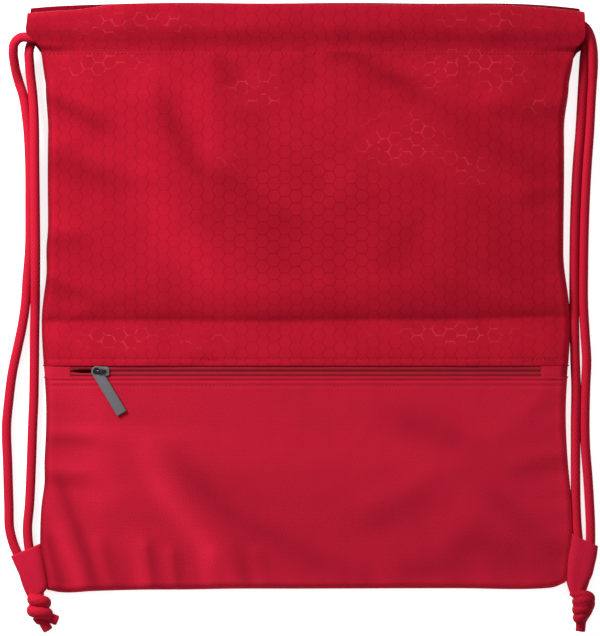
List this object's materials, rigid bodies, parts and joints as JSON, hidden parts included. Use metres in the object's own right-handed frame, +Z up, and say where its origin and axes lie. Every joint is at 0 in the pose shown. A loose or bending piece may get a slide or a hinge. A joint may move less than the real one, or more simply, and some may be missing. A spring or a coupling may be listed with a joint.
{
  "type": "drawstring backpack",
  "caption": "Flat cloth drawstring backpack with a honeycomb upper front, a plain zipped front pocket, hem casings, corner tabs and knotted drawcords.",
  "frame": {"origin": "on the surface that the bag lies on, under the middle of its cloth outline", "axes": "+Y from the bottom seam to the mouth, +Z up through the front, +X to the right as the front is seen"},
  "size_m": [0.4758, 0.5033, 0.0234],
  "materials": {
    "honeycomb_cloth": "red jacquard cloth with thin shiny honeycomb outlines",
    "twill_cloth": "matte red fine twill",
    "lining_cloth": "matte dark red plain weave",
    "binding_tape": "matte red seam tape",
    "cord_braid": "bright red soft braid",
    "zip_tape": "maroon woven tape",
    "zip_coil": "dark maroon nylon coil",
    "gunmetal": "satin gunmetal plating"
  },
  "bodies": {
    "bag": {"back_panel": "twill_cloth", "front_upper_panel": "honeycomb_cloth", "front_lower_panel": "twill_cloth", "pocket_lining": "lining_cloth", "pocket_facing": "lining_cloth", "front_hem_casing": "honeycomb_cloth", "back_hem_casing": "honeycomb_cloth", "left_side_binding": "binding_tape", "right_side_binding": "binding_tape", "bottom_binding": "binding_tape", "zip_tape_upper": "zip_tape", "zip_tape_lower": "zip_tape", "zip_coil_upper": "zip_coil", "zip_coil_lower": "zip_coil", "zip_end_cover_left": "twill_cloth", "zip_end_cover_right": "twill_cloth", "left_cord_casing_loop": "cord_braid", "right_cord_casing_loop": "cord_braid"},
    "zip_slider": {"zip_slider": "gunmetal"},
    "zip_pull": {"zip_pull": "gunmetal"},
    "left_strap": {"left_cord_front_strand": "cord_braid", "left_cord_back_strand": "cord_braid", "left_corner_tab": "twill_cloth", "left_knot": "cord_braid"},
    "right_strap": {"right_cord_front_strand": "cord_braid", "right_cord_back_strand": "cord_braid", "right_corner_tab": "twill_cloth", "right_knot": "cord_braid"}
  },
  "joints": [
    {"name": "zip_slide", "type": "slide", "parent": "bag", "child": "zip_slider", "axis": [1, 0, 0], "range_m": [-0.012, 0.339]},
    {"name": "zip_pull_swing", "type": "hinge", "parent": "zip_slider", "child": "zip_pull", "pos_m": [-0.1674, -0.0563, 0.0165], "axis": [0, 0, 1], "range_deg": [-75, 0]},
    {"name": "left_strap_swing", "type": "hinge", "parent": "bag", "child": "left_strap", "pos_m": [-0.2112, -0.213, 0.0098], "axis": [-0.0175, 0.9998, 0], "range_deg": [0, 90]},
    {"name": "right_strap_swing", "type": "hinge", "parent": "bag", "child": "right_strap", "pos_m": [0.2112, -0.213, 0.0098], "axis": [-0.0175, -0.9998, 0], "range_deg": [0, 90]}
  ]
}
